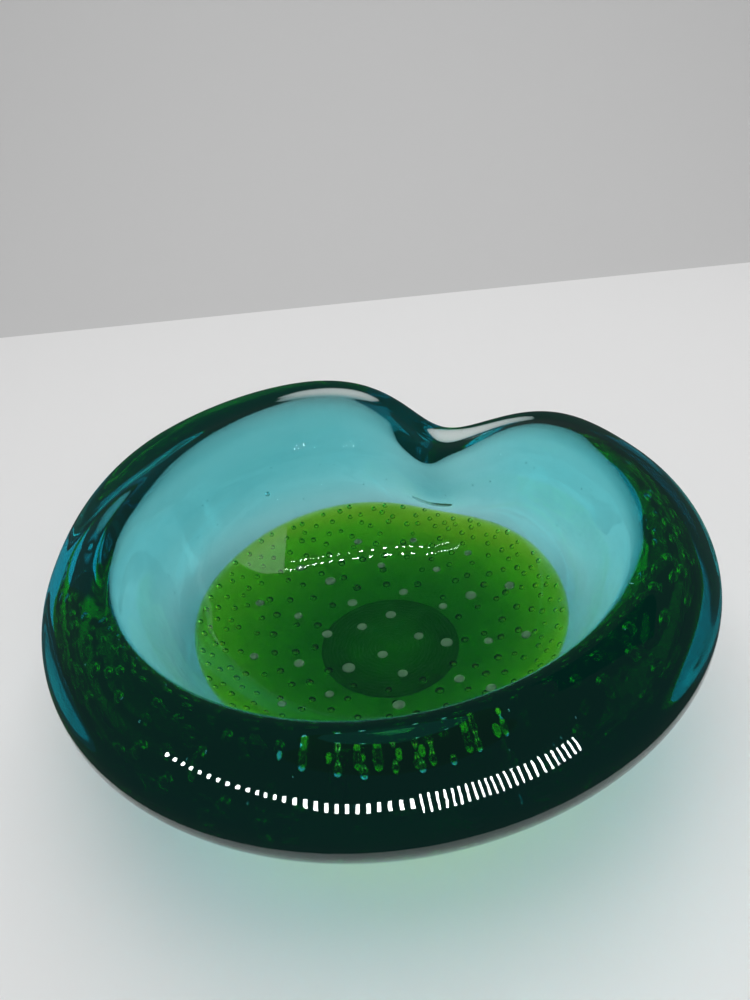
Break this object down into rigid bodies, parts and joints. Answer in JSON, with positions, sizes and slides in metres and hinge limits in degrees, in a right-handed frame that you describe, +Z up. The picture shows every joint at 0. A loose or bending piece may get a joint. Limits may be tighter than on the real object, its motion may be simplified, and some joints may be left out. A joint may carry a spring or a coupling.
{
  "type": "art glass bowl",
  "caption": "Heavy round cased-glass bowl with a wide rounded rim pinched in at one place, a turquoise layer and a green bubbled core.",
  "frame": {"origin": "centre of the flat ground foot, on the plane the bowl rests on", "axes": "+Z up out of the hollow, +Y towards the back of the bowl, with the pinch at 65 degrees from +X towards +Y"},
  "size_m": [0.1595, 0.1637, 0.054],
  "materials": {
    "clear_glass": "fire-polished clear glass with a faint green-grey cast",
    "turquoise_glass": "transparent turquoise glass with a few fine seeds",
    "green_glass": "transparent yellow-green glass with a grid of air bubbles",
    "lining_glass": "thin clear glass that lines the hollow, fire-polished"
  },
  "bodies": {
    "root": {"clear_casing": "clear_glass", "turquoise_layer": "turquoise_glass", "green_core": "green_glass", "inner_lining": "lining_glass"}
  },
  "joints": []
}
